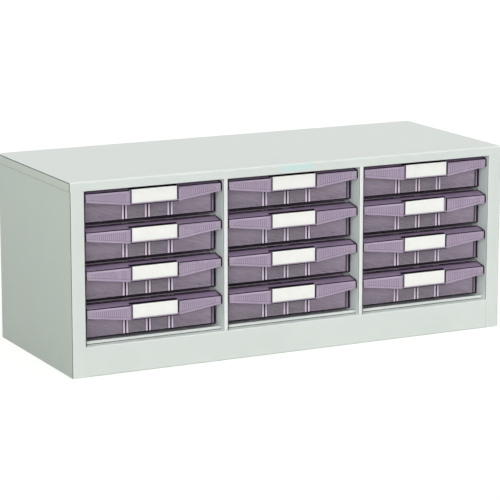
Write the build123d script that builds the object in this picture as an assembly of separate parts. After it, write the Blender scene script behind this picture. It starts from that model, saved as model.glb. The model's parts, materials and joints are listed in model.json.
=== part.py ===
from build123d import *
import os

# Parts drawer cabinet: a folded steel case with columns of sliding plastic trays.
# Millimetres. The origin is at the bottom centre, +X to the right, +Z up, and the front faces -Y.

# The grid of drawers and what stands between them
columns = 3
rows = 4
bay_width = 268.0  # clear width between two uprights at the front
drawer_height = 63.0
row_gap = 6.0  # between one drawer and the next above it
head_gap = 1.0  # between the top drawers and the lip of the top panel
floor_gap = 7.0  # between the floor and the bottom drawers

# Steel case
cabinet_depth = 350.0
sheet = 1.0
bend_radius = 2.0  # inside of every fold
stile_width = 28.5
stile_return = 9.0
divider_width = 9.5
divider_flange = 14.0
top_lip = 17.0
lip_return = 8.0
kick_height = 55.0
kick_flange = 20.0
sill_setback = 16.5
sill_rise = 5.7  # of the turned-up edges where the kick plate meets the floor
floor_flange = 20.0
side_flange = 20.0
back_recess = 2.0  # the back panel lies this far inside the rear lip
panel_fit = 0.3  # between panels that butt together
overrun = 5.0  # by which every cut passes the material

# Blind rivets that hold the back panel
rivet_radius = 1.6
rivet_head_radius = 3.2
rivet_head = 1.2
rivet_tail_radius = 2.4
rivet_tail = 0.8
rivet_clearance = 0.1
rivet_height_shares = (0.2, 0.5, 0.8)

# Trays
wall = 2.0
side_gap = 2.5  # between the front plate and the uprights
plate_setback = 30.0  # the front plate stands this far behind the cabinet's front
plate_overhang = 6.0  # the front plate reaches this far past the side walls
plate_edge_share = 0.7
rear_room = 15.0  # behind the trays, to the rear of the cabinet
rim_width = 5.5
tray_corner = 2.0  # inside radius

# Hooded pulls
apron_setback = 6.0
hood_drop = 5.8
hood_radius = 3.0  # inside radius
apron_end_height = 15.0
apron_mid_height = 26.0

# Label holders and cards
holder_width = 94.0
holder_height = 27.5
rail_width = 3.0
rail_height = 3.3
rail_wall = 1.0
rail_lip = 1.2
groove_floor = 1.5
card_thickness = 0.5
card_clearance = 0.3
card_play = 1.3
loose_card = (2, 3)  # row and column of a card that is short and has slipped
loose_card_short = 3.8
loose_card_slide = 0.8
loose_card_tilt = 0.8

# Ribs for partitions, in pairs on the front and rear walls
rib_pairs = 3
rib_pair_spacing = 44.2
rib_pitch = 6.7
rib_thickness = 1.8
rib_depth = 8.0

# Runners and stops
slide_clearance = 0.3
rim_headroom = 0.7
leg_clearance = 1.5
runner_setback = 2.0
drawer_hold = 52.7  # of each tray, from its stop lugs to its rear, stays in the cabinet
stop_tab_length = 8.0
stop_tab_reach = 4.0
stop_lug_length = 6.0
stop_lug_width = 2.5
stop_lug_height = 3.5

# Worked out from the sizes above
cabinet_width = columns * bay_width + (columns - 1) * divider_width + 2 * stile_width
stack_height = rows * drawer_height + (rows - 1) * row_gap
cabinet_height = kick_height + floor_gap + stack_height + head_gap + top_lip
outer_bend = bend_radius + sheet
bay_half = bay_width / 2
skin_half = bay_half + sheet

front_face = -cabinet_depth / 2
rear_face = cabinet_depth / 2 - back_recess - sheet
side_face = cabinet_width / 2 - sheet
bay_edge = cabinet_width / 2 - stile_width
lip_bottom = cabinet_height - top_lip
sill_face = front_face + sill_setback
sill_rear = sill_face + 2 * sheet
sill_top = kick_height + sill_rise
panel_top = cabinet_height - sheet

pull_half = bay_half - side_gap
body_half = pull_half - plate_overhang
plate_front = front_face + plate_setback
plate_back = plate_front + wall
tray_rear = cabinet_depth / 2 - rear_room
apron_front = front_face + apron_setback
apron_mid = -hood_drop - apron_mid_height
apron_end = -hood_drop - apron_end_height
holder_half = holder_width / 2
holder_top = apron_mid + holder_height
groove_half = holder_half - rail_wall
card_room = card_thickness + card_clearance

leg_tip = body_half + leg_clearance
runner_front = plate_back + runner_setback
stop_tab_rear = runner_front + stop_tab_length
stop_lug_front = tray_rear - drawer_hold
drawer_travel = stop_lug_front - stop_tab_rear - slide_clearance


def block(x_span, y_span, z_span):
    spans = (x_span, y_span, z_span)
    sizes = [high - low for low, high in spans]
    middles = [(low + high) / 2 for low, high in spans]
    return Pos(*middles) * Box(*sizes)


def column_x(column):
    return (column - (columns + 1) / 2) * (bay_width + divider_width)


def divider_x(divider):
    return (divider - columns / 2) * (bay_width + divider_width)


def rim_z(row):
    return lip_bottom - head_gap - (row - 1) * (drawer_height + row_gap)


def right_normal(start, end):
    along = (Vector(*end) - Vector(*start)).normalized()
    return Vector(along.Y, -along.X)


def offset_right(path, distance):
    # The same path moved to its right, with mitred corners
    normals = [right_normal(path[i], path[i + 1]) for i in range(len(path) - 1)]
    befores = [normals[0]] + normals
    afters = normals + [normals[-1]]
    moved = []
    for point, before, after in zip(path, befores, afters):
        mitre = (before + after) * (1 / (1 + before.dot(after)))
        moved.append(Vector(*point) + mitre * distance)
    return [(point.X, point.Y) for point in moved]


def folded_section(path):
    # Section of a folded sheet that lies to the right of the path, with every fold rounded
    turns = []
    for i in range(1, len(path) - 1):
        after = Vector(*path[i + 1]) - Vector(*path[i])
        turns.append(right_normal(path[i - 1], path[i]).dot(after))
    near_radii = [outer_bend if turn > 0 else bend_radius for turn in turns]
    far_radii = [bend_radius if turn > 0 else outer_bend for turn in turns]
    near = FilletPolyline(*path, radius=near_radii)
    far = FilletPolyline(*offset_right(path, sheet), radius=far_radii)
    ends = [Line(near @ 0, far @ 0), Line(near @ 1, far @ 1)]
    return make_face(near.edges() + far.edges() + ends[0].edges() + ends[1].edges())


def head_notch():
    # Room for the top panel's front lip and its return
    return block(
        (-cabinet_width, cabinet_width),
        (front_face - overrun, front_face + lip_return + panel_fit),
        (lip_bottom, cabinet_height + overrun),
    )


def rivet_places():
    side_x = side_face - (side_face - bay_edge) / 2
    across = [-side_x, side_x]
    for divider in range(1, columns):
        reach = divider_width / 2 + divider_flange / 2
        across += [divider_x(divider) - reach, divider_x(divider) + reach]
    return [(x, share * cabinet_height) for x in across for share in rivet_height_shares]


def rivet_holes():
    bore = Rot(90, 0, 0) * Cylinder(rivet_radius + rivet_clearance, 2 * sheet + 2 * overrun)
    return [Pos(x, rear_face, z) * bore for x, z in rivet_places()]


def top_panel():
    z_middle = (cabinet_height + lip_bottom) / 2
    outer = Pos(0, 0, z_middle) * Box(cabinet_width, cabinet_depth, top_lip)
    outer_edges = outer.edges().filter_by(lambda e: e.center().Z > lip_bottom + sheet)
    outer = fillet(outer_edges, outer_bend)
    inner = Pos(0, 0, z_middle - sheet) * Box(
        cabinet_width - 2 * sheet, cabinet_depth - 2 * sheet, top_lip
    )
    inner_edges = inner.edges().filter_by(lambda e: e.center().Z > lip_bottom)
    inner = fillet(inner_edges, bend_radius)
    lip = block(
        (-bay_edge, bay_edge),
        (front_face + sheet, front_face + lip_return),
        (lip_bottom, lip_bottom + sheet),
    )
    return outer - inner + lip


def right_side_panel():
    path = [
        (bay_edge + sheet, rear_face),
        (side_face, rear_face),
        (side_face, front_face),
        (bay_edge, front_face),
        (bay_edge, front_face + stile_return),
    ]
    panel = extrude(folded_section(path), amount=panel_top - bend_radius, dir=(0, 0, 1))
    foot = block(
        (side_face - side_flange, side_face - sheet),
        (front_face + sheet, rear_face - sheet),
        (0, sheet),
    )
    return panel + foot - head_notch() - rivet_holes()


def right_liner():
    liner = block(
        (bay_edge + sheet, bay_edge + 2 * sheet),
        (front_face + outer_bend, rear_face - sheet),
        (0, panel_top),
    )
    return liner - head_notch()


def divider_panel():
    half = divider_width / 2 - sheet
    flange_y = rear_face - sheet
    path = [
        (half + divider_flange, flange_y),
        (half, flange_y),
        (half, front_face + sheet),
        (-half, front_face + sheet),
        (-half, flange_y),
        (-half - divider_flange, flange_y),
    ]
    panel = extrude(folded_section(path), amount=panel_top - kick_height, dir=(0, 0, 1))
    sill_notch = block(
        (-divider_width, divider_width),
        (sill_face - bend_radius - panel_fit, sill_rear + bend_radius + panel_fit),
        (kick_height - overrun, sill_top + panel_fit),
    )
    return Pos(0, 0, kick_height) * panel - head_notch() - sill_notch


def divider_channel():
    half = divider_width / 2
    path = [
        (half, front_face + stile_return),
        (half, front_face),
        (-half, front_face),
        (-half, front_face + stile_return),
    ]
    channel = extrude(folded_section(path), amount=lip_bottom - kick_height, dir=(0, 0, 1))
    return Pos(0, 0, kick_height) * channel


def kick_panel():
    path = [
        (front_face + kick_flange, 0),
        (front_face, 0),
        (front_face, kick_height),
        (sill_face, kick_height),
        (sill_face, sill_top),
    ]
    half = bay_edge - panel_fit
    return extrude(Plane.YZ * folded_section(path), amount=half, both=True)


def floor_panel():
    # Its front edge turns up against the back of the kick plate's
    path = [
        (sill_rear, sill_top),
        (sill_rear, kick_height),
        (rear_face, kick_height),
        (rear_face, kick_height - floor_flange),
    ]
    half = bay_edge + sheet
    return extrude(Plane.YZ * folded_section(path), amount=half, both=True)


def back_panel():
    half = side_face - outer_bend
    panel = block((-half, half), (rear_face, rear_face + sheet), (0, panel_top - bend_radius))
    return panel - rivet_holes()


def back_rivets():
    grip = 2 * sheet
    head = Pos(0, 0, rivet_head / 2) * Cylinder(rivet_head_radius, rivet_head)
    head = fillet(head.edges().sort_by(Axis.Z)[-1], rivet_head / 2)
    shank = Pos(0, 0, -grip / 2) * Cylinder(rivet_radius, grip)
    tail = Pos(0, 0, -grip - rivet_tail / 2) * Cylinder(rivet_tail_radius, rivet_tail)
    rivet = Rot(-90, 0, 0) * (head + shank + tail)
    return Compound([Pos(x, rear_face + sheet, z) * rivet for x, z in rivet_places()])


def right_runner():
    # In the frame of its bay: x from the bay's middle, z from the top of the tray's rim
    web_face = skin_half - sheet
    lower_top = -wall - slide_clearance
    upper_top = rim_headroom + sheet
    runner_rear = tray_rear + slide_clearance + sheet
    whole = (runner_front, runner_rear)
    web = block((web_face, skin_half), whole, (lower_top - sheet, upper_top))
    lower_leg = block((leg_tip, web_face), whole, (lower_top - sheet, lower_top))
    upper_leg = block((leg_tip, web_face), whole, (rim_headroom, upper_top))
    front_stop = block(
        (leg_tip - stop_tab_reach, leg_tip),
        (runner_front, stop_tab_rear),
        (rim_headroom, upper_top),
    )
    rear_stop = block(
        (leg_tip, web_face), (runner_rear - sheet, runner_rear), (lower_top, rim_headroom)
    )
    return web + lower_leg + upper_leg + front_stop + rear_stop


def runners(right_of, left_of):
    # Runners on the right of the given columns and on the left of the others, in every row
    right = right_runner()
    left = mirror(right, about=Plane.YZ)
    solids = []
    for row in range(1, rows + 1):
        solids += [Pos(column_x(column), 0, rim_z(row)) * right for column in right_of]
        solids += [Pos(column_x(column), 0, rim_z(row)) * left for column in left_of]
    return Compound(solids)


def hood():
    outer = [(apron_front, apron_mid), (apron_front, -hood_drop), (plate_front, 0)]
    inner = offset_right(outer, wall)
    seat = (inner[-1][0], 0)
    points = outer + [seat] + inner[::-1]
    radii = [0, hood_radius + wall, 0, 0, 0, hood_radius, 0]
    section = make_face(FilletPolyline(*points, radius=radii, close=True).edges())
    shell = extrude(Plane.YZ * section, amount=pull_half, both=True)
    # The apron's lower edge rises from the label holder to the ends
    rise = (apron_end - apron_mid) / (pull_half - holder_half)
    past_end = pull_half + overrun
    trim = Polyline(
        (holder_half, apron_mid),
        (past_end, apron_end + rise * overrun),
        (past_end, apron_mid - overrun),
        (holder_half, apron_mid - overrun),
        close=True,
    )
    trim_face = Plane.XZ * make_face(trim.edges())
    cutter = extrude(Pos(0, apron_front, 0) * trim_face, amount=wall + overrun, both=True)
    return shell - cutter - mirror(cutter, about=Plane.YZ)


def label_holder():
    face = apron_front - card_room
    holder = block(
        (-holder_half, holder_half),
        (face - rail_lip, apron_front + wall),
        (apron_mid, holder_top),
    )
    groove = block(
        (-groove_half, groove_half),
        (face, apron_front),
        (apron_mid + groove_floor, holder_top + overrun),
    )
    window_half = holder_half - rail_width
    window = block(
        (-window_half, window_half),
        (face - rail_lip - overrun, face),
        (apron_mid + rail_height, holder_top + overrun),
    )
    return holder - groove - window


def tray_ribs():
    ribs = []
    for pair in range(rib_pairs):
        middle = (pair - (rib_pairs - 1) / 2) * rib_pair_spacing
        for x in (middle - rib_pitch / 2, middle + rib_pitch / 2):
            across = (x - rib_thickness / 2, x + rib_thickness / 2)
            upright = (wall - drawer_height, 0)
            ribs.append(block(across, (plate_back, plate_back + rib_depth), upright))
            ribs.append(block(across, (tray_rear - wall - rib_depth, tray_rear - wall), upright))
    return ribs


def tray():
    # In the frame of its bay: x from the bay's middle, z from the top of the tray's rim
    outside = block((-body_half, body_half), (plate_back, tray_rear), (-drawer_height, 0))
    below_rim = outside.edges().filter_by(lambda e: e.center().Z < -wall)
    round_edges = below_rim.filter_by(lambda e: e.center().Y > plate_back + wall)
    outside = fillet(round_edges, tray_corner + wall)
    inner_half = body_half - wall
    inside = block(
        (-inner_half, inner_half), (plate_back, tray_rear - wall), (wall - drawer_height, 0)
    )
    inside = fillet(inside.edges().filter_by(lambda e: e.center().Z < -wall), tray_corner)

    plate = block((-pull_half, pull_half), (plate_front, plate_back), (-drawer_height, 0))
    front_edges = plate.edges().filter_by(lambda e: e.center().Y < plate_front + wall / 2)
    foot_edge = front_edges.sort_by(Axis.Z)[0]
    plate = fillet(foot_edge, wall * plate_edge_share)

    rim = block((body_half - wall, body_half + rim_width), (plate_back, tray_rear), (-wall, 0))
    lug = block(
        (inner_half, inner_half + stop_lug_width),
        (stop_lug_front, stop_lug_front + stop_lug_length),
        (-wall, stop_lug_height),
    )
    edges = [rim, lug, mirror(rim, about=Plane.YZ), mirror(lug, about=Plane.YZ)]
    return outside - inside + plate + edges + tray_ribs() + hood() + label_holder()


def card(shortened=0.0):
    half = groove_half - card_play
    return block(
        (-half, half - shortened),
        (apron_front - card_thickness, apron_front),
        (apron_mid + groove_floor, holder_top),
    )


def slipped_card():
    # Slid to the left in its groove, and turned about its lower left corner
    half = groove_half - card_play
    corner = Pos(-half, 0, apron_mid + groove_floor)
    turned = corner * Rot(0, -loose_card_tilt, 0) * corner.inverse() * card(loose_card_short)
    return Pos(-loose_card_slide, 0, 0) * turned


def both_sides(nodes, name, right_part):
    nodes["right_" + name] = right_part
    nodes["left_" + name] = mirror(right_part, about=Plane.YZ)


def cabinet_nodes():
    nodes = {
        "top_panel": top_panel(),
        "kick_panel": kick_panel(),
        "floor_panel": floor_panel(),
        "back_panel": back_panel(),
        "back_rivets": back_rivets(),
        "right_liner_runners": runners([columns], []),
        "left_liner_runners": runners([], [1]),
    }
    both_sides(nodes, "side_panel", right_side_panel())
    both_sides(nodes, "liner", right_liner())
    for divider in range(1, columns):
        place = Pos(divider_x(divider), 0, 0)
        nodes[f"divider_{divider}_panel"] = place * divider_panel() - rivet_holes()
        nodes[f"divider_{divider}_channel"] = place * divider_channel()
        nodes[f"divider_{divider}_runners"] = runners([divider], [divider + 1])
    return nodes


def drawer_nodes():
    nodes = {}
    one_tray = tray()
    for row in range(1, rows + 1):
        for column in range(1, columns + 1):
            place = Pos(column_x(column), 0, rim_z(row))
            one_card = slipped_card() if (row, column) == loose_card else card()
            nodes[f"tray_r{row}_c{column}"] = place * one_tray
            nodes[f"card_r{row}_c{column}"] = place * one_card
    return nodes


os.makedirs("parts", exist_ok=True)
for node, shape in {**cabinet_nodes(), **drawer_nodes()}.items():
    export_step(shape, f"parts/{node}.step")
print(f"cabinet {cabinet_width} x {cabinet_depth} x {cabinet_height} mm")
print(f"drawer travel {drawer_travel:.1f} mm")
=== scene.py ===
import json
import math

import bmesh
import bpy
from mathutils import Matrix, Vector


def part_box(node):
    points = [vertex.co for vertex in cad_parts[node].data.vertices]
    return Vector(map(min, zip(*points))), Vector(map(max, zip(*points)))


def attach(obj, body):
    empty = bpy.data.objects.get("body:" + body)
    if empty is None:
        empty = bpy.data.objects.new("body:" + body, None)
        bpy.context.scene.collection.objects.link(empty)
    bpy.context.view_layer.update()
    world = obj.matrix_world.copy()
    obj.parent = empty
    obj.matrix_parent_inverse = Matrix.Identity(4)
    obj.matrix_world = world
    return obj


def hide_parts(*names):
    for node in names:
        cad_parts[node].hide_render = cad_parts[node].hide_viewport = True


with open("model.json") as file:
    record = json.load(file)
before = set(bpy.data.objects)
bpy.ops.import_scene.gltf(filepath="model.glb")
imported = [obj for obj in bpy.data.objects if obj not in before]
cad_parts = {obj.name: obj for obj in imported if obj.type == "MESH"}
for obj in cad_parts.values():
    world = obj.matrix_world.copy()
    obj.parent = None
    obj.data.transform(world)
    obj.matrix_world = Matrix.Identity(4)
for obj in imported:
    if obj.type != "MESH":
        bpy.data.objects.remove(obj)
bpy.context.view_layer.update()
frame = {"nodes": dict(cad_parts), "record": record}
nodes = frame["nodes"]
scene = bpy.context.scene
scene.view_settings.view_transform = "Standard"
mm = 0.001
print("frame loaded,", len(nodes), "nodes")

# shared by all pieces
square, facing, leaning, slanting = 0.99, 0.9, 0.5, 0.3  # how far a face looks along an axis
noiseRange = (0.3, 0.7)  # where nearly all values of a noise lie
level = 90  # degrees from straight down up to the horizon
axes = {"x": Vector((1, 0, 0)), "y": Vector((0, 1, 0)), "z": Vector((0, 0, 1))}
meshing = {"weld": 0.001 * mm, "bevelSegments": 2, "faceWeight": 100,
           "flatAngle": 0.6, "sharpAngle": 30}  # in degrees


def startMaterial(name):
    material = bpy.data.materials.new(name)
    material.use_nodes = True
    tree = material.node_tree
    return material, tree, tree.nodes["Principled BSDF"]


def placedNoise(tree, scale, detail):
    # noise laid on the piece's own coordinates, in metres
    place = tree.nodes.new("ShaderNodeTexCoord")
    mapping = tree.nodes.new("ShaderNodeMapping")
    noise = tree.nodes.new("ShaderNodeTexNoise")
    noise.inputs["Scale"].default_value = scale
    noise.inputs["Detail"].default_value = detail
    tree.links.new(place.outputs["Object"], mapping.inputs["Vector"])
    tree.links.new(mapping.outputs["Vector"], noise.inputs["Vector"])
    return mapping, noise.outputs["Fac"]


def speckle(tree, scale, detail, stretch=(1, 1, 1)):
    mapping, value = placedNoise(tree, scale, detail)
    mapping.inputs["Scale"].default_value = stretch
    return value


def tintBetween(tree, value, recipe):
    ramp = tree.nodes.new("ShaderNodeValToRGB")
    for k, key in enumerate(("dark", "light")):
        ramp.color_ramp.elements[k].position = noiseRange[k]
        ramp.color_ramp.elements[k].color = (*recipe[key], 1)
    tree.links.new(value, ramp.inputs["Fac"])
    return ramp.outputs["Color"]


def remapped(tree, value, source, target):
    remap = tree.nodes.new("ShaderNodeMapRange")
    for socket, number in zip(("From Min", "From Max", "To Min", "To Max"), (*source, *target)):
        remap.inputs[socket].default_value = number
    tree.links.new(value, remap.inputs["Value"])
    return remap.outputs["Result"]


def relief(tree, value, recipe):
    bump = tree.nodes.new("ShaderNodeBump")
    bump.inputs["Strength"].default_value = recipe["relief"]
    bump.inputs["Distance"].default_value = recipe["depth"]
    tree.links.new(value, bump.inputs["Height"])
    return bump.outputs["Normal"]


def mathStep(tree, operation, value, number):
    step = tree.nodes.new("ShaderNodeMath")
    step.operation = operation
    step.inputs[1].default_value = number
    tree.links.new(value, step.inputs[0])
    return step.outputs["Value"]


def shaded(tree, colour, factor):
    scaled = tree.nodes.new("ShaderNodeVectorMath")
    scaled.operation = "SCALE"
    tree.links.new(colour, scaled.inputs[0])
    tree.links.new(factor, scaled.inputs["Scale"])
    return scaled.outputs["Vector"]


def fadeAlong(tree, colour, fade):
    # painted light and shade: the colour times a factor that changes along one direction, starting
    # again at each pitch
    place = tree.nodes.new("ShaderNodeTexCoord")
    along = tree.nodes.new("ShaderNodeVectorMath")
    along.operation = "DOT_PRODUCT"
    along.inputs[1].default_value = fade["slope"]
    tree.links.new(place.outputs["Object"], along.inputs[0])
    value = along.outputs["Value"]
    for operation, key in (("ADD", "rimTop"), ("MODULO", "pitch")):
        if key in fade:
            value = mathStep(tree, operation, value, fade[key])
    return shaded(tree, colour, remapped(tree, value, fade["span"], fade["shade"]))


def streakOver(tree, colour, streak):
    # the colour times faint slanting lines
    mapping, lines = placedNoise(tree, streak["scale"], streak["detail"])
    mapping.vector_type = "TEXTURE"  # turns before it stretches
    mapping.inputs["Rotation"].default_value = (0, math.radians(streak["slant"]), 0)
    mapping.inputs["Scale"].default_value = streak["stretch"]
    return shaded(tree, colour, remapped(tree, lines, noiseRange, streak["shade"]))


def coat(tree, shader, recipe, colour, gloss, bumps=None):
    roughness = remapped(tree, gloss, noiseRange, recipe["roughness"])
    tree.links.new(colour, shader.inputs["Base Color"])
    tree.links.new(roughness, shader.inputs["Roughness"])
    if bumps is not None:
        tree.links.new(relief(tree, bumps, recipe), shader.inputs["Normal"])


def paintMaterial(name, recipe):
    material, tree, shader = startMaterial(name)
    mottle = speckle(tree, recipe["mottle"], recipe["mottleDetail"])
    peel = speckle(tree, recipe["peel"], recipe["peelDetail"])
    colour = tintBetween(tree, mottle, recipe)
    if "fade" in recipe:
        colour = fadeAlong(tree, colour, recipe["fade"])
    coat(tree, shader, recipe, colour, mottle, peel)
    shader.inputs["Specular IOR Level"].default_value = recipe["specular"]
    return material


def smokeMaterial(name, recipe):
    material, tree, shader = startMaterial(name)
    flow = speckle(tree, recipe["flow"], recipe["flowDetail"], recipe["stretch"])
    grain = speckle(tree, recipe["grain"], recipe["grainDetail"])
    colour = tintBetween(tree, flow, recipe)
    if "fade" in recipe:
        colour = fadeAlong(tree, colour, recipe["fade"])
    if "streak" in recipe:
        colour = streakOver(tree, colour, recipe["streak"])
    coat(tree, shader, recipe, colour, flow, grain)
    shader.inputs["Alpha"].default_value = recipe["alpha"]
    shader.inputs["Specular IOR Level"].default_value = recipe["specular"]
    return material


def finishNode(node, material):
    # a CAD node that keeps its own shape
    nodes[node].data.materials.clear()
    nodes[node].data.materials.append(material)


def addPiece(bm, name, materials, body, standsFor=()):
    mesh = bpy.data.meshes.new(name)
    bm.to_mesh(mesh)
    bm.free()
    for material in materials:
        mesh.materials.append(material)
    piece = bpy.data.objects.new(name, mesh)
    scene.collection.objects.link(piece)
    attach(piece, body)
    if standsFor:
        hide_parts(*standsFor)
    return piece


def cleanCopy(node):
    # the node's loose triangles, joined up and with its flat faces made whole
    bm = bmesh.new()
    bm.from_mesh(nodes[node].data)
    bmesh.ops.remove_doubles(bm, verts=bm.verts, dist=meshing["weld"])
    bmesh.ops.dissolve_limit(bm, angle_limit=math.radians(meshing["flatAngle"]),
                             use_dissolve_boundaries=False, verts=bm.verts, edges=bm.edges)
    return bm


def softenEdges(bm, radius):
    sharp = math.radians(meshing["sharpAngle"])
    edges = [e for e in bm.edges if len(e.link_faces) == 2 and e.calc_face_angle() > sharp]
    bmesh.ops.bevel(bm, geom=edges, offset=radius, offset_type="OFFSET",
                    segments=meshing["bevelSegments"], profile=0.5, affect="EDGES", material=-1,
                    clamp_overlap=False)


def smoothFaces(piece):
    for face in piece.data.polygons:
        face.use_smooth = True
    piece.data.set_sharp_from_angle(angle=math.radians(meshing["sharpAngle"]))
    weighted = piece.modifiers.new("flatFaces", "WEIGHTED_NORMAL")
    weighted.keep_sharp = True
    weighted.weight = meshing["faceWeight"]


def cutFaces(bm, faces, point, normal):
    geom = {}  # each face, edge and corner once, in a steady order
    for face in faces:
        geom.update(dict.fromkeys((face, *face.edges, *face.verts)))
    bmesh.ops.bisect_plane(bm, geom=list(geom), dist=meshing["weld"],
                           plane_co=point, plane_no=normal)


def cutAcross(bm, faces, axis, place):
    cutFaces(bm, faces, axes[axis] * place, axes[axis])


# steel case: sheet panels in baked enamel
enamelBase = {"mottle": 14, "mottleDetail": 4, "peel": 900, "peelDetail": 2,
              "roughness": (0.36, 0.46), "relief": 0.08, "depth": 0.08 * mm, "specular": 0.3}
foldBase = {**enamelBase, "mottle": 40, "roughness": (0.4, 0.5)}
# painted shade: darker to the lower rear
sideShadeFade = {"slope": (0, 1, -1.86), "span": (-0.725, 0.175), "shade": (1, 0.77)}
case = {
    "panels": ["top_panel", "kick_panel", "floor_panel", "back_panel",
               "left_side_panel", "right_side_panel", "divider_1_channel", "divider_2_channel"],
    "inside": ["left_liner", "right_liner", "divider_1_panel", "divider_2_panel"],
    "runners": ["left_liner_runners", "divider_1_runners", "divider_2_runners",
                "right_liner_runners"],
    "edge": 0.25 * mm,
    "sideFace": 439 * mm, "edgeShadeFrom": 436 * mm, "edgeShadeLean": (0.8, 0.995), "edgeShadeTurn": 0.05,
    "lipBottom": 333 * mm, "lipShade": 0.8 * mm,
    "kickEnd": 411 * mm, "kickSkin": -173.5 * mm, "kickReach": {-1: 2.1 * mm, 1: 1.3 * mm},
    "kickJoint": 412.1 * mm, "returnReach": 413 * mm,
    "creaseFront": -160.5 * mm, "creaseTop": 57 * mm,
    "foldBack": -171.5 * mm, "foldReach": 425 * mm, "foldLow": 55.5 * mm,
    "foldRight": 0.12, "foldLeft": -0.85, "foldTurn": 0.1,
    "finishes": {
        "enamel": {**enamelBase, "dark": (0.69, 0.733, 0.71), "light": (0.715, 0.758, 0.735)},
        # painted shade: the outer sides darker and greener than the front
        "sideEnamelShaded": {**enamelBase, "dark": (0.67, 0.748, 0.69), "light": (0.695, 0.773, 0.715),
                       "fade": sideShadeFade},
        # painted light: lighter enamel for the bay walls and returns, which lie in shade
        "insideEnamelLightened": {**enamelBase, "dark": (0.87, 0.955, 0.925), "light": (0.89, 0.975, 0.945)},
        # painted highlight: the channels' front faces brighter than the case's enamel
        "channelEnamelHighlight": {**enamelBase, "dark": (0.785, 0.805, 0.80), "light": (0.81, 0.83, 0.825)},
        # a dark joint line at the kick plate's end, and painted shade on the outer folds, in the
        # kick's crease and under the top panel's lip
        "seamAndShade": {**foldBase, "dark": (0.10, 0.115, 0.105), "light": (0.14, 0.155, 0.145),
                 "roughness": (0.45, 0.55)},
        # painted shade on the bends round the openings, near black on those facing right
        "foldSoftShade": {**foldBase, "dark": (0.18, 0.195, 0.185), "light": (0.22, 0.24, 0.23)},
        "foldShade": {**foldBase, "dark": (0.030, 0.025, 0.033), "light": (0.040, 0.033, 0.044)},
        # painted shade: the runners darker than the case's enamel
        "runnerEnamelShaded": {**enamelBase, "dark": (0.40, 0.43, 0.41), "light": (0.45, 0.48, 0.46),
                         "mottle": 30, "roughness": (0.34, 0.44)},
    },
}


def onEdgeShade(face):
    # painted shade on the outer folds beside the side panels, and a painted shadow line under the
    # top panel's lip
    spot, normal = face.calc_center_median(), face.normal
    if abs(spot.x) < case["edgeShadeFrom"]:
        return False
    leanLow, leanHigh = case["edgeShadeLean"]
    if leanLow < abs(normal.x) < leanHigh:
        return normal.y < -case["edgeShadeTurn"] or normal.z > case["edgeShadeTurn"]
    underLip = case["lipBottom"] - case["lipShade"] < spot.z < case["lipBottom"]
    return abs(normal.x) > facing and underLip


def onCrease(face):
    # painted shade in the fold where the kick plate's ledge turns up into the sill
    spot, normal = face.calc_center_median(), face.normal
    return (spot.y > case["creaseFront"] and spot.z < case["creaseTop"]
            and -facing < normal.y < -slanting and normal.z > slanting)


def onFold(face):
    # the narrow bends round the front openings, which take painted shade
    spot, normal = face.calc_center_median(), face.normal
    if spot.y > case["foldBack"] or abs(spot.x) > case["foldReach"] or normal.y > -case["foldTurn"]:
        return False
    return case["foldRight"] < normal.x < square or -square < normal.x < case["foldLeft"]


def caseFinish(node, face):
    spot, normal = face.calc_center_median(), face.normal
    # the runners take the enamel darkened as painted shade
    if node in case["runners"]:
        return "runnerEnamelShaded"
    # liners and divider panels take the lightened enamel, painted light
    if node in case["inside"]:
        return "insideEnamelLightened"
    if node == "kick_panel":
        # a dark joint line at the kick's end, and painted shade in its crease
        onJoint = spot.x > case["kickJoint"] and normal.y < -slanting
        return "seamAndShade" if onJoint or onCrease(face) else "enamel"
    sideways = abs(normal.x) > facing
    folded = node.endswith(("side_panel", "channel"))
    # painted shade on the bends round the openings
    if folded and onFold(face) and spot.z > case["foldLow"]:
        return "foldShade" if normal.x > 0 else "foldSoftShade"
    # the returns inside the bays take the lightened enamel, painted light
    if folded and sideways and abs(spot.x) < case["returnReach"]:
        return "insideEnamelLightened"
    # the channels' front faces take the brighter enamel, a painted highlight
    if node.endswith("channel"):
        return "channelEnamelHighlight"
    if node == "top_panel" or folded:
        # painted shade on the outer folds and under the lip
        if onEdgeShade(face):
            return "seamAndShade"
        # the outer sides take the enamel with painted shade
        return "sideEnamelShaded" if sideways and abs(spot.x) > case["sideFace"] else "enamel"
    return "enamel"


def closeKick(bm):
    # the kick plate's ends run into the rounded edges of the stiles
    for sign in (-1, 1):
        ends = [v for v in bm.verts
                if v.co.x * sign > case["kickEnd"] and v.co.y < case["kickSkin"]]
        bmesh.ops.translate(bm, verts=ends, vec=(sign * case["kickReach"][sign], 0, 0))


def buildPanel(node, paints):
    bm = cleanCopy(node)
    if node == "kick_panel":
        closeKick(bm)
    softenEdges(bm, case["edge"])
    if node == "kick_panel":
        cutAcross(bm, [f for f in bm.faces if f.normal.y < -slanting], "x", case["kickJoint"])
    if node.endswith("side_panel"):
        for z in (case["lipBottom"] - case["lipShade"], case["lipBottom"]):
            cutAcross(bm, [f for f in bm.faces if abs(f.normal.x) > facing], "z", z)
        cutAcross(bm, [f for f in bm.faces if onFold(f)], "z", case["foldLow"])
    keys = [caseFinish(node, face) for face in bm.faces]
    used = [key for key in paints if key in keys]
    for face, key in zip(bm.faces, keys):
        face.material_index = used.index(key)
    materials = [paints[key] for key in used]
    smoothFaces(addPiece(bm, node + "_sheet", materials, "cabinet", [node]))


def buildCase():
    paints = {key: paintMaterial(key, recipe) for key, recipe in case["finishes"].items()}
    for node in case["panels"] + case["inside"] + case["runners"]:
        buildPanel(node, paints)
    print("case built")


# blind rivets along the back panel
rivets = {"dark": (0.58, 0.59, 0.60), "light": (0.72, 0.73, 0.74), "scuff": 260, "detail": 5,
          "stretch": (1, 1, 4), "roughness": (0.28, 0.45)}


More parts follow.
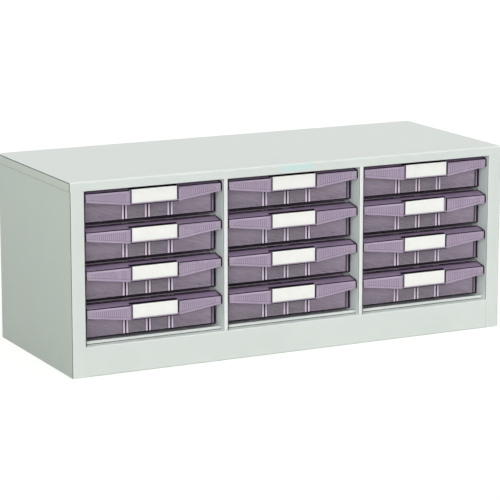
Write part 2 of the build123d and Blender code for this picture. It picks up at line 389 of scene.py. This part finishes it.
def buildRivets():
    material, tree, shader = startMaterial("rivetAluminium")
    scuff = speckle(tree, rivets["scuff"], rivets["detail"], rivets["stretch"])
    coat(tree, shader, rivets, tintBetween(tree, scuff, rivets), scuff)
    shader.inputs["Metallic"].default_value = 1
    finishNode("back_rivets", material)
    print("rivets finished")


# one smoke plastic tray, shaped with its rim at zero height and copied to every place
smokeBase = {"alpha": 0.45, "flow": 18, "flowDetail": 3, "stretch": (1, 1, 0.4), "grain": 500,
             "grainDetail": 2, "roughness": (0.14, 0.22), "relief": 0.03, "depth": 0.05 * mm,
             "specular": 0.5}
plateBase = {
    **smokeBase,
    # painted light below the hood and painted shade at the foot, in every row
    "fade": {"slope": (0, 0, -1), "rimTop": 332 * mm, "pitch": 69 * mm, "span": (36 * mm, 54 * mm),
             "shade": (1.32, 0.85)},
    "streak": {"slant": 17, "scale": 1, "stretch": (26 * mm, 1, 2.2 * mm), "detail": 2,
               "shade": (0.88, 1.12)},
}
tray = {
    "height": 63 * mm, "flush": 0.1 * mm, "depthSlack": 0.05 * mm,
    "plateFront": -145 * mm, "plateBack": -143 * mm, "ribBack": -135 * mm, "ribZone": 60 * mm,
    "apronFront": -169 * mm, "apronBack": -167 * mm, "railFront": -171 * mm,
    "holderHalf": 47 * mm, "holderLow": -31.8 * mm,
    "endHalf": 131.5 * mm, "apronEndLow": -20.8 * mm,
    "fluteStart": 54 * mm, "fluteEnd": 121 * mm, "fluteTop": -10.9 * mm, "lipHeight": 4.5 * mm,
    "fluteWidth": 1.9 * mm, "fluteRise": 0.3 * mm, "lipRise": 0.4 * mm, "taper": 0.25 * mm,
    "railDark": 46.4 * mm, "railTop": -28.5 * mm, "railLine": -30.2 * mm,
    "slotBack": -157.5 * mm, "slotRim": 0.3 * mm, "slotDepth": 1.2 * mm,  # behind the card
    "hoodEdge": 130.3 * mm, "hoodSide": 128.6 * mm, "hoodReach": 1.6 * mm, "hoodRear": -148.8 * mm,
    "endStart": 124.3 * mm, "underLean": 0.95, "frontLean": 0.8, "bevelLean": (0.4, 0.75),
    "ledgeHalf": 123.5 * mm, "ledgeLow": -1.7 * mm, "ledgeTop": -0.2 * mm,
    "ledgeFront": -137 * mm, "ledgeBack": -129.5 * mm,
    "ribMiddles": (-44.2 * mm, 0, 44.2 * mm), "middleHalf": 41 * mm,
    "barIn": 1.4 * mm, "barOut": 5.1 * mm, "barShade": 6.4 * mm, "barShift": -2.5 * mm,
    "wallIn": 121.5 * mm, "wallOut": 125 * mm, "plateEdge": 127.3 * mm, "plateFoot": -60.6 * mm,
    "finishes": {
        "front": {**plateBase, "dark": (0.53, 0.44, 0.56), "light": (0.59, 0.49, 0.62)},
        # painted shadow of the card on the plate's middle
        "middle": {**plateBase, "dark": (0.49, 0.425, 0.515), "light": (0.55, 0.48, 0.575)},
        # painted light: the lit sides of the ribs, laid on the plate's front
        "litBar": {**smokeBase, "dark": (0.80, 0.68, 0.84), "light": (0.86, 0.74, 0.90), "alpha": 0.9},
        "shade": {**smokeBase, "dark": (0.075, 0.05, 0.075), "light": (0.10, 0.065, 0.095),
                  "alpha": 0.8},
        "apron": {**smokeBase, "dark": (0.42, 0.333, 0.467), "light": (0.47, 0.377, 0.517),
                  "alpha": 0.85, "roughness": (0.2, 0.3)},
        # more see-through than the apron, and lighter: a painted highlight on the apron's ends
        "end": {**smokeBase, "dark": (0.47, 0.39, 0.505), "light": (0.52, 0.44, 0.555),
                "alpha": 0.7, "roughness": (0.2, 0.3)},
        # painted shade: the hood's top darker than the apron of the same plastic
        "hood": {**smokeBase, "dark": (0.37, 0.275, 0.42), "light": (0.43, 0.325, 0.48),
                 "alpha": 0.75, "roughness": (0.12, 0.2)},
        "inner": {**smokeBase, "dark": (0.44, 0.36, 0.47), "light": (0.50, 0.41, 0.53),
                  "alpha": 0.1},
        # painted light: the inner walls lighter than the plastic, standing in for light inside the
        # tray
        "litWall": {**smokeBase, "dark": (0.62, 0.52, 0.65), "light": (0.68, 0.57, 0.71),
                 "alpha": 0.5, "flow": 12, "stretch": (1, 0.4, 1)},
        # painted light: a bright strip seen in the gaps between the rows
        "litLedge": {**smokeBase, "dark": (0.86, 0.76, 0.89), "light": (0.92, 0.82, 0.95),
                  "alpha": 0.95, "stretch": (0.4, 1, 1)},
        # painted shade: near black on the tray's edges, underside, card gaps, slot, hood rear and
        # front bevel
        "rim": {**smokeBase, "dark": (0.008, 0.005, 0.01), "light": (0.014, 0.01, 0.017),
                "alpha": 1, "roughness": (0.3, 0.4), "specular": 0.1, "flow": 30,
                "stretch": (1, 1, 1)},
        # painted light: the ribs lighter than the plastic
        "litRib": {**smokeBase, "dark": (0.62, 0.53, 0.66), "light": (0.70, 0.60, 0.74),
                "alpha": 0.95, "roughness": (0.2, 0.3), "flow": 30},
    },
}
finishOrder = list(tray["finishes"])


def trayOrigin(node):
    low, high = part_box(node)
    return Vector(((low.x + high.x) / 2, 0, low.z + tray["height"]))


def plateFinish(x, z):
    # painted light and shade: light bars stand in for the lit sides of the ribs behind the plate,
    # dark strips for the shade beside them and at the side walls
    side = abs(x)
    # painted shade at the plate's foot and ends
    if z < tray["plateFoot"] or side > tray["plateEdge"]:
        return "rim"
    # painted shade strips where the side walls stand behind the plate
    if side > tray["wallIn"]:
        return "shade" if side < tray["wallOut"] else "hood"
    fromRibs = min(abs(x - tray["barShift"] - middle) for middle in tray["ribMiddles"])
    # painted shade between the two bars of a pair
    if fromRibs < tray["barIn"]:
        return "rim"
    if fromRibs < tray["barOut"]:
        return "litBar"
    if fromRibs < tray["barShade"]:
        return "shade"
    # painted shadow of the card on the plate's middle
    return "middle" if side < tray["middleHalf"] else "front"


def hoodFinish(spot, normal):
    side, flush = abs(spot.x), tray["flush"]
    # painted shade on the hood's ends and its underside
    if side > tray["hoodEdge"] or normal.z < -tray["underLean"]:
        return "rim"
    if side < tray["holderHalf"] + flush and spot.y < tray["apronFront"] - flush:
        pale = side > tray["railDark"] or spot.z < tray["railTop"]
        onRail = spot.y < tray["railFront"] + flush and spot.z > tray["railLine"]
        # painted shade on the rails' inner parts beside the card
        return "apron" if onRail and pale else "rim"
    behindCard = tray["apronBack"] + flush < spot.y < tray["slotBack"] + flush
    # painted shade in the slot behind the card
    if side < tray["holderHalf"] and behindCard and normal.z > -slanting:
        return "rim"
    # painted shade along the hood's rear
    if spot.y > tray["hoodRear"] and normal.z > leaning:
        return "rim"
    if normal.y > slanting or normal.z < -slanting:
        return "inner"
    # painted highlight on the apron's ends
    if normal.y < -tray["frontLean"]:
        return "end" if side > tray["endStart"] else "apron"
    # painted shade on the hood's front bevel and its ends
    leanLow, leanHigh = tray["bevelLean"]
    onBevel = leanLow < -normal.y < leanHigh
    # the rest of the hood's top takes the darker hood finish, painted shade
    return "rim" if onBevel or side > tray["hoodSide"] else "hood"


def trayFinish(face):
    spot, normal = face.calc_center_median(), face.normal
    side, flush = abs(spot.x), tray["flush"]
    # painted shade on the tray's end faces
    if side > tray["endHalf"] - flush:
        return "rim"
    if spot.y < tray["plateFront"] - flush:
        return hoodFinish(spot, normal)
    if spot.y < tray["plateFront"] + flush:
        return plateFinish(spot.x, spot.z)
    # painted shade on the plate's edges
    if spot.y < tray["plateBack"] - flush:
        return "rim"
    if spot.y < tray["plateBack"] + flush:
        return "inner"
    if spot.y < tray["ribBack"] + flush and side < tray["ribZone"] and abs(normal.z) < leaning:
        return "litRib"
    return "litWall"


def flatFaces(bm, y, inner, outer):
    # faces that look forward at one depth, between two distances from the middle
    found = []
    for face in bm.faces:
        spot = face.calc_center_median()
        atDepth = face.normal.y < -square and abs(spot.y - y) < tray["depthSlack"]
        if atDepth and inner <= abs(spot.x) < outer:
            found.append(face)
    return found


def apronFaces(bm):
    return flatFaces(bm, tray["apronFront"], tray["holderHalf"], tray["endHalf"])


def plateFaces(bm):
    return flatFaces(bm, tray["plateFront"], 0, tray["endHalf"])


def railFaces(bm):
    return flatFaces(bm, tray["railFront"], 0, tray["holderHalf"])


def hoodTop(bm):
    upward = [f for f in bm.faces if f.normal.z > facing]
    return [f for f in upward
            if tray["apronFront"] < f.calc_center_median().y < tray["plateFront"]]


def apronSlope():
    return (tray["apronEndLow"] - tray["holderLow"]) / (tray["endHalf"] - tray["holderHalf"])


def lipLine(x):
    # lower edge of the fluted field, level with the apron's slope
    return tray["holderLow"] + (abs(x) - tray["holderHalf"]) * apronSlope() + tray["lipHeight"]


def fluteApron(bm):
    # fine upright flutes on both sides of the holder, over a raised lower lip
    cutAcross(bm, apronFaces(bm), "z", tray["fluteTop"])
    for x in (-tray["endStart"], tray["endStart"]):
        cutAcross(bm, apronFaces(bm), "x", x)
    count = round((tray["fluteEnd"] - tray["fluteStart"]) / tray["fluteWidth"])
    step = (tray["fluteEnd"] - tray["fluteStart"]) / count
    for side in (-1, 1):
        start = Vector((side * tray["holderHalf"], 0, lipLine(tray["holderHalf"])))
        faces = [f for f in apronFaces(bm) if f.calc_center_median().x * side > 0]
        cutFaces(bm, faces, start, (-side * apronSlope(), 0, 1))
        for k in range(count + 1):
            cutAcross(bm, apronFaces(bm), "x", side * (tray["fluteStart"] + k * step))
    ridges, lips = [], []
    for face in apronFaces(bm):
        spot = face.calc_center_median()
        if spot.z > tray["fluteTop"]:
            continue
        if spot.z < lipLine(spot.x):
            lips.append(face)
        elif tray["fluteStart"] < abs(spot.x) < tray["fluteEnd"]:
            if int((abs(spot.x) - tray["fluteStart"]) / step) % 2 == 0:
                ridges.append(face)
    bmesh.ops.inset_individual(bm, faces=ridges, thickness=tray["taper"], depth=tray["fluteRise"])
    bmesh.ops.inset_region(bm, faces=lips, thickness=tray["taper"], depth=tray["lipRise"],
                           use_even_offset=True)


def stripPlate(bm):
    # cuts for the painted light bars and painted shade strips
    cuts = [sign * tray[key] for key in ("wallIn", "wallOut", "plateEdge") for sign in (-1, 1)]
    cuts += [-tray["middleHalf"], tray["middleHalf"]]
    for middle in tray["ribMiddles"]:
        centre = middle + tray["barShift"]
        for key in ("barIn", "barOut", "barShade"):
            cuts += [centre - tray[key], centre + tray[key]]
    for x in cuts:
        cutAcross(bm, plateFaces(bm), "x", x)
    cutAcross(bm, plateFaces(bm), "z", tray["plateFoot"])


def stripHood(bm):
    # painted shade on the ends, in a slot behind the card, and on the rails round it
    for x in (-tray["hoodEdge"], tray["hoodEdge"]):
        hood = [f for f in bm.faces if f.calc_center_median().y < tray["plateFront"]]
        cutAcross(bm, hood, "x", x)
        ends = [v for v in bm.verts if abs(v.co.x) > tray["endHalf"] - tray["flush"]
                and v.co.y < tray["plateFront"] and v.co.x * x > 0]
        bmesh.ops.translate(bm, verts=ends, vec=(math.copysign(tray["hoodReach"], x), 0, 0))
    for y in (tray["slotBack"], tray["hoodRear"]):
        cutAcross(bm, hoodTop(bm), "y", y)
    for x in (-tray["hoodSide"], -tray["holderHalf"], tray["holderHalf"], tray["hoodSide"]):
        cutAcross(bm, hoodTop(bm), "x", x)
    slot = [f for f in hoodTop(bm) if abs(f.calc_center_median().x) < tray["holderHalf"]
            and f.calc_center_median().y < tray["slotBack"]]
    bmesh.ops.inset_region(bm, faces=slot, thickness=tray["slotRim"], depth=-tray["slotDepth"],
                           use_even_offset=True)
    for x in (-tray["railDark"], tray["railDark"]):
        cutAcross(bm, railFaces(bm), "x", x)
    for z in (tray["railTop"], tray["railLine"]):
        cutAcross(bm, railFaces(bm), "z", z)


def addLedge(bm):
    # flange along the inside of the front, over the ribs, painted light on top and painted shade on
    # its front
    made = bmesh.ops.create_cube(bm, size=1)["verts"]
    low = Vector((-tray["ledgeHalf"], tray["ledgeFront"], tray["ledgeLow"]))
    high = Vector((tray["ledgeHalf"], tray["ledgeBack"], tray["ledgeTop"]))
    bmesh.ops.scale(bm, verts=made, vec=high - low)
    bmesh.ops.translate(bm, verts=made, vec=(low + high) / 2)
    for face in {f for v in made for f in v.link_faces}:
        face.material_index = finishOrder.index("rim" if face.normal.y < -leaning else "litLedge")


def trayShape():
    bm = cleanCopy("tray_r1_c1")
    bmesh.ops.translate(bm, verts=bm.verts, vec=-trayOrigin("tray_r1_c1"))
    fluteApron(bm)
    stripPlate(bm)
    stripHood(bm)
    for face in bm.faces:
        face.material_index = finishOrder.index(trayFinish(face))
    addLedge(bm)
    return bm


def buildTrays():
    smokes = []
    for key, recipe in tray["finishes"].items():
        smokes.append(smokeMaterial("smoke" + key.capitalize(), recipe))
    shape = trayShape()
    pattern = bpy.data.meshes.new("trayPattern")
    shape.to_mesh(pattern)
    shape.free()
    for body, members in frame["record"]["behaviour"]["bodies"].items():
        for node in members:
            if not node.startswith("tray"):
                continue
            bm = bmesh.new()
            bm.from_mesh(pattern)
            bmesh.ops.translate(bm, verts=bm.verts, vec=trayOrigin(node))
            smoothFaces(addPiece(bm, node + "_smoke", smokes, body, [node]))
    bpy.data.meshes.remove(pattern)
    print("trays built")


# label cards in the holders
card = {"dark": (0.90, 0.90, 0.875), "light": (0.93, 0.93, 0.91), "roughness": (0.75, 0.9),
        "fibre": 420, "fibreDetail": 6, "stretch": (1, 1, 0.3), "pulp": 60, "pulpDetail": 3,
        "relief": 0.1, "depth": 0.05 * mm}


def buildCards():
    material, tree, shader = startMaterial("cardStock")
    fibre = speckle(tree, card["fibre"], card["fibreDetail"], card["stretch"])
    pulp = speckle(tree, card["pulp"], card["pulpDetail"])
    coat(tree, shader, card, tintBetween(tree, pulp, card), fibre, fibre)
    for node in nodes:
        if node.startswith("card"):
            finishNode(node, material)
    print("cards finished")


# blank film label on the top rail
label = {"left": -30 * mm, "right": 36 * mm, "low": 337.5 * mm, "high": 348 * mm, "thick": 0.1 * mm,
         "corner": 0.8 * mm, "cornerSegments": 4, "dark": (0.60, 0.765, 0.76),
         "light": (0.625, 0.79, 0.785), "mottle": 900, "detail": 3, "roughness": (0.25, 0.35)}


def buildLabel():
    material, tree, shader = startMaterial("labelFilm")
    mottle = speckle(tree, label["mottle"], label["detail"])
    coat(tree, shader, label, tintBetween(tree, mottle, label), mottle)
    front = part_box("top_panel")[0].y
    bm = bmesh.new()
    bmesh.ops.create_cube(bm, size=1)
    size = (label["right"] - label["left"], label["thick"], label["high"] - label["low"])
    bmesh.ops.scale(bm, verts=bm.verts, vec=size)
    corners = [e for e in bm.edges if abs(e.verts[0].co.y - e.verts[1].co.y) > label["thick"] / 2]
    bmesh.ops.bevel(bm, geom=corners, offset=label["corner"], offset_type="OFFSET",
                    segments=label["cornerSegments"], profile=0.5, affect="EDGES", material=-1)
    middle = ((label["left"] + label["right"]) / 2, front - label["thick"] / 2,
              (label["low"] + label["high"]) / 2)
    bmesh.ops.translate(bm, verts=bm.verts, vec=middle)
    smoothFaces(addPiece(bm, "rail_label", [material], "cabinet"))
    print("label stuck on")


# pale floor, white round about, two soft lamps far away
studio = {
    "floor": {"side": 60, "dark": (0.50, 0.52, 0.478), "light": (0.52, 0.54, 0.498),
              "grain": 3, "detail": 2, "roughness": 0.9, "specular": 0.1, "lift": 0.6},
    "ambient": 0.14, "ambientTint": (0.97, 1, 0.94),
    "backdrop": 1, "backdropTint": (1, 1, 1),
    "lamps": {
        "front": {"height": 15, "turn": -24, "strength": 2.44, "spread": 50},
        "top": {"height": 85, "turn": 0, "strength": 1.63, "spread": 60},
    },
}


def aimDown(thing, angle, turn):
    thing.rotation_euler = (math.radians(level - angle), 0, math.radians(turn))


def seenRays(tree):
    # 1 for what the camera sees straight on, in gloss or through glass
    path = tree.nodes.new("ShaderNodeLightPath")
    value = path.outputs["Is Camera Ray"]
    for other in ("Is Glossy Ray", "Is Transmission Ray"):
        larger = tree.nodes.new("ShaderNodeMath")
        larger.operation = "MAXIMUM"
        tree.links.new(value, larger.inputs[0])
        tree.links.new(path.outputs[other], larger.inputs[1])
        value = larger.outputs["Value"]
    return value


def floorMaterial(recipe):
    # pale paper, lifted towards white where it is seen
    material, tree, shader = startMaterial("floorPaper")
    grain = speckle(tree, recipe["grain"], recipe["detail"])
    tree.links.new(tintBetween(tree, grain, recipe), shader.inputs["Base Color"])
    shader.inputs["Roughness"].default_value = recipe["roughness"]
    shader.inputs["Specular IOR Level"].default_value = recipe["specular"]
    glow = tree.nodes.new("ShaderNodeEmission")
    both = tree.nodes.new("ShaderNodeAddShader")
    lift = mathStep(tree, "MULTIPLY", seenRays(tree), recipe["lift"])
    tree.links.new(lift, glow.inputs["Strength"])
    tree.links.new(shader.outputs["BSDF"], both.inputs[0])
    tree.links.new(glow.outputs["Emission"], both.inputs[1])
    tree.links.new(both.outputs["Shader"], tree.nodes["Material Output"].inputs["Surface"])
    return material


def buildFloor():
    bm = bmesh.new()
    bmesh.ops.create_grid(bm, x_segments=1, y_segments=1, size=studio["floor"]["side"] / 2)
    mesh = bpy.data.meshes.new("floor")
    bm.to_mesh(mesh)
    bm.free()
    floor = bpy.data.objects.new("floor", mesh)
    scene.collection.objects.link(floor)
    mesh.materials.append(floorMaterial(studio["floor"]))


def buildWorld():
    # a dim tint lights the part, and white is what the camera sees
    world = bpy.data.worlds.new("studioWhite")
    scene.world = world
    world.use_nodes = True
    tree = world.node_tree
    dim = tree.nodes["Background"]
    white = tree.nodes.new("ShaderNodeBackground")
    for light, key in ((dim, "ambient"), (white, "backdrop")):
        light.inputs["Color"].default_value = (*studio[key + "Tint"], 1)
        light.inputs["Strength"].default_value = studio[key]
    mix = tree.nodes.new("ShaderNodeMixShader")
    tree.links.new(seenRays(tree), mix.inputs["Fac"])
    tree.links.new(dim.outputs["Background"], mix.inputs[1])
    tree.links.new(white.outputs["Background"], mix.inputs[2])
    tree.links.new(mix.outputs["Shader"], tree.nodes["World Output"].inputs["Surface"])


def buildLamps():
    for name, lamp in studio["lamps"].items():
        data = bpy.data.lights.new(name + "Lamp", "SUN")
        data.energy = lamp["strength"]
        data.angle = math.radians(lamp["spread"])
        lampObject = bpy.data.objects.new(name + "Lamp", data)
        aimDown(lampObject, lamp["height"], lamp["turn"])
        scene.collection.objects.link(lampObject)


def buildStudio():
    buildFloor()
    buildWorld()
    buildLamps()
    print("studio lit")


# camera fitted to the corners of the case in the photograph
camera = {"place": (-1.992, -3.950, 1.086), "down": 11.85, "turn": -26.72, "lens": 172.66,
          "sensor": 36, "clip": (0.1, 200)}


def buildCamera():
    data = bpy.data.cameras.new("photoCamera")
    data.sensor_width = camera["sensor"]
    data.lens = camera["lens"]
    data.clip_start, data.clip_end = camera["clip"]
    cameraObject = bpy.data.objects.new("photoCamera", data)
    cameraObject.location = camera["place"]
    aimDown(cameraObject, camera["down"], camera["turn"])
    scene.collection.objects.link(cameraObject)
    scene.camera = cameraObject
    print("camera set")


buildCase()
buildRivets()
buildTrays()
buildCards()
buildLabel()
buildStudio()
buildCamera()
